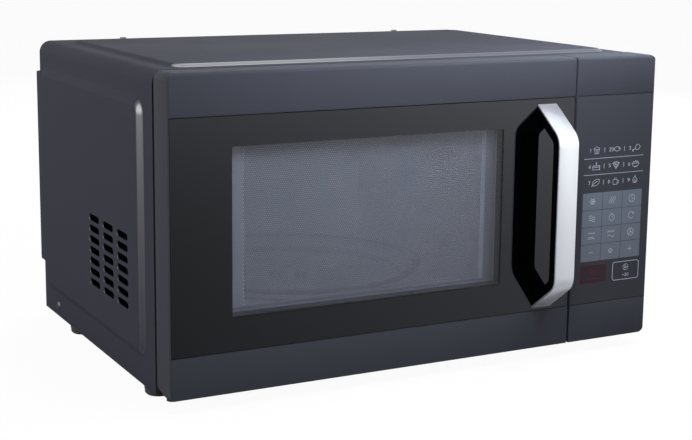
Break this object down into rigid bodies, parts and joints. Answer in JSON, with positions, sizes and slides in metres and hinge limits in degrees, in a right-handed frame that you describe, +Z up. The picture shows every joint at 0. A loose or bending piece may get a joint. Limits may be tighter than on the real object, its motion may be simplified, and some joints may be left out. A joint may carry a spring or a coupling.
{
  "type": "microwave oven",
  "caption": "Countertop microwave oven with grill and convection: side-hinged glass door with a bar handle, flat keypad panel, turntable cavity and vented black cabinet.",
  "frame": {"origin": "middle of the overall footprint, on the surface that the feet stand on", "axes": "+X from the hinge side to the control side, +Y from the door to the rear, +Z up"},
  "size_m": [0.523, 0.437, 0.2995],
  "materials": {
    "cabinet_paint": "satin black coat over pressed sheet",
    "galvanised": "galvanised sheet",
    "hinge_black": "black finished steel",
    "cavity_steel": "satin stainless sheet",
    "front_plastic": "satin black moulding",
    "foot_plastic": "matte moulded foot",
    "front_glass": "black-backed glass with a clear window",
    "clear_glass": "clear",
    "film": "clear sheet",
    "screen_paint": "punched screen, satin dark grey",
    "handle_black": "gloss black",
    "handle_metal": "satin bright strip",
    "white_plastic": "natural white moulding",
    "dark_plastic": "dark moulding",
    "keypad_sheet": "printed keypad sheet",
    "circuit_board": "green board with parts",
    "display": "dark display",
    "core_iron": "varnished laminations",
    "copper_coils": "enamelled copper",
    "motor_steel": "plain steel",
    "heater_sheath": "oxidised sheath",
    "mica": "mica sheet",
    "bulb": "lamp",
    "zinc_screws": "zinc plated",
    "plunger_red": "red button"
  },
  "bodies": {
    "chassis": {"outer_cabinet": "cabinet_paint", "rear_panel": "cabinet_paint", "base_plate": "galvanised", "feet": "foot_plastic", "front_plate": "cabinet_paint", "cavity_liner": "cavity_steel", "cavity_floor": "cavity_steel", "cavity_back": "cavity_steel", "turntable_motor": "motor_steel", "waveguide": "galvanised", "waveguide_cover": "mica", "magnetron": "galvanised", "transformer": "core_iron", "capacitor": "motor_steel", "noise_filter": "circuit_board", "cooling_motor": "motor_steel", "fan_shroud": "dark_plastic", "air_duct": "dark_plastic", "convection_pan": "galvanised", "convection_heater": "heater_sheath", "convection_motor": "motor_steel", "convection_grille": "cavity_steel", "grill_element": "heater_sheath", "oven_lamp": "white_plastic", "thermostats": "dark_plastic", "latch_board": "white_plastic", "interlock_switches": "dark_plastic", "upper_hinge": "galvanised", "lower_hinge": "hinge_black", "control_housing": "front_plastic", "control_overlay": "keypad_sheet", "control_board": "circuit_board", "display_module": "display", "cabinet_screws": "zinc_screws", "cord_gland": "dark_plastic"},
    "door": {"door_frame": "front_plastic", "door_glass": "front_glass", "door_plate": "galvanised", "door_mesh": "screen_paint", "choke_cover": "dark_plastic", "inner_window": "film", "handle_body": "handle_black", "handle_strip": "handle_metal", "handle_screws": "zinc_screws", "latch_spring": "zinc_screws"},
    "latch": {"latch_key": "white_plastic"},
    "turntable": {"coupler": "white_plastic"},
    "tray": {"glass_tray": "clear_glass"},
    "ring": {"roller_ring": "white_plastic"},
    "roller_a": {"roller_1": "white_plastic"},
    "roller_b": {"roller_2": "white_plastic"},
    "roller_c": {"roller_3": "white_plastic"},
    "fan_wheel": {"cooling_fan": "white_plastic"},
    "oven_fan": {"convection_fan": "cavity_steel"},
    "button_upper": {"plunger_upper": "plunger_red"},
    "button_lower": {"plunger_lower": "plunger_red"},
    "button_monitor": {"plunger_monitor": "plunger_red"}
  },
  "joints": [
    {"name": "door_hinge", "type": "hinge", "parent": "chassis", "child": "door", "pos_m": [-0.2495, -0.165, 0.153], "axis": [0, 0, -1], "range_deg": [0, 100]},
    {"name": "latch_slide", "type": "slide", "parent": "door", "child": "latch", "axis": [0, 0, 1], "range_m": [0, 0.004], "stiffness_N_per_m": 400, "springref_m": -0.002, "deforming": ["latch_spring"]},
    {"name": "turntable_spin", "type": "hinge", "parent": "chassis", "child": "turntable", "pos_m": [-0.0565, 0.0055, 0.0616], "axis": [0, 0, 1], "continuous": true},
    {"name": "tray_lift", "type": "slide", "parent": "turntable", "child": "tray", "axis": [0, 0, 1], "range_m": [0, 0.02]},
    {"name": "ring_spin", "type": "hinge", "parent": "chassis", "child": "ring", "pos_m": [-0.0565, 0.0055, 0.0583], "axis": [0, 0, 1], "continuous": true},
    {"name": "roller_a_spin", "type": "hinge", "parent": "ring", "child": "roller_a", "pos_m": [0.02144, 0.0505, 0.0583], "axis": [0.866, 0.5, 0], "continuous": true},
    {"name": "roller_b_spin", "type": "hinge", "parent": "ring", "child": "roller_b", "pos_m": [-0.13444, 0.0505, 0.0583], "axis": [-0.866, 0.5, 0], "continuous": true},
    {"name": "roller_c_spin", "type": "hinge", "parent": "ring", "child": "roller_c", "pos_m": [-0.0565, -0.0845, 0.0583], "axis": [0, -1, 0], "continuous": true},
    {"name": "cooling_spin", "type": "hinge", "parent": "chassis", "child": "fan_wheel", "pos_m": [0.18353, 0.169, 0.159], "axis": [0, 1, 0], "continuous": true},
    {"name": "convection_spin", "type": "hinge", "parent": "chassis", "child": "oven_fan", "pos_m": [-0.0565, 0.169, 0.15], "axis": [0, 1, 0], "continuous": true},
    {"name": "button_upper_slide", "type": "slide", "parent": "chassis", "child": "button_upper", "axis": [0, 1, 0], "range_m": [0, 0.001], "stiffness_N_per_m": 120, "springref_m": -0.001},
    {"name": "button_lower_slide", "type": "slide", "parent": "chassis", "child": "button_lower", "axis": [0, 1, 0], "range_m": [0, 0.001], "stiffness_N_per_m": 120, "springref_m": -0.001},
    {"name": "button_monitor_slide", "type": "slide", "parent": "chassis", "child": "button_monitor", "axis": [0, 1, 0], "range_m": [0, 0.001], "stiffness_N_per_m": 120, "springref_m": -0.001}
  ],
  "couplings": [
    {"joint": "ring_spin", "follows": "turntable_spin", "ratio": 0.5},
    {"joint": "roller_a_spin", "follows": "turntable_spin", "ratio": -5.625},
    {"joint": "roller_b_spin", "follows": "turntable_spin", "ratio": -5.625},
    {"joint": "roller_c_spin", "follows": "turntable_spin", "ratio": -5.625}
  ]
}
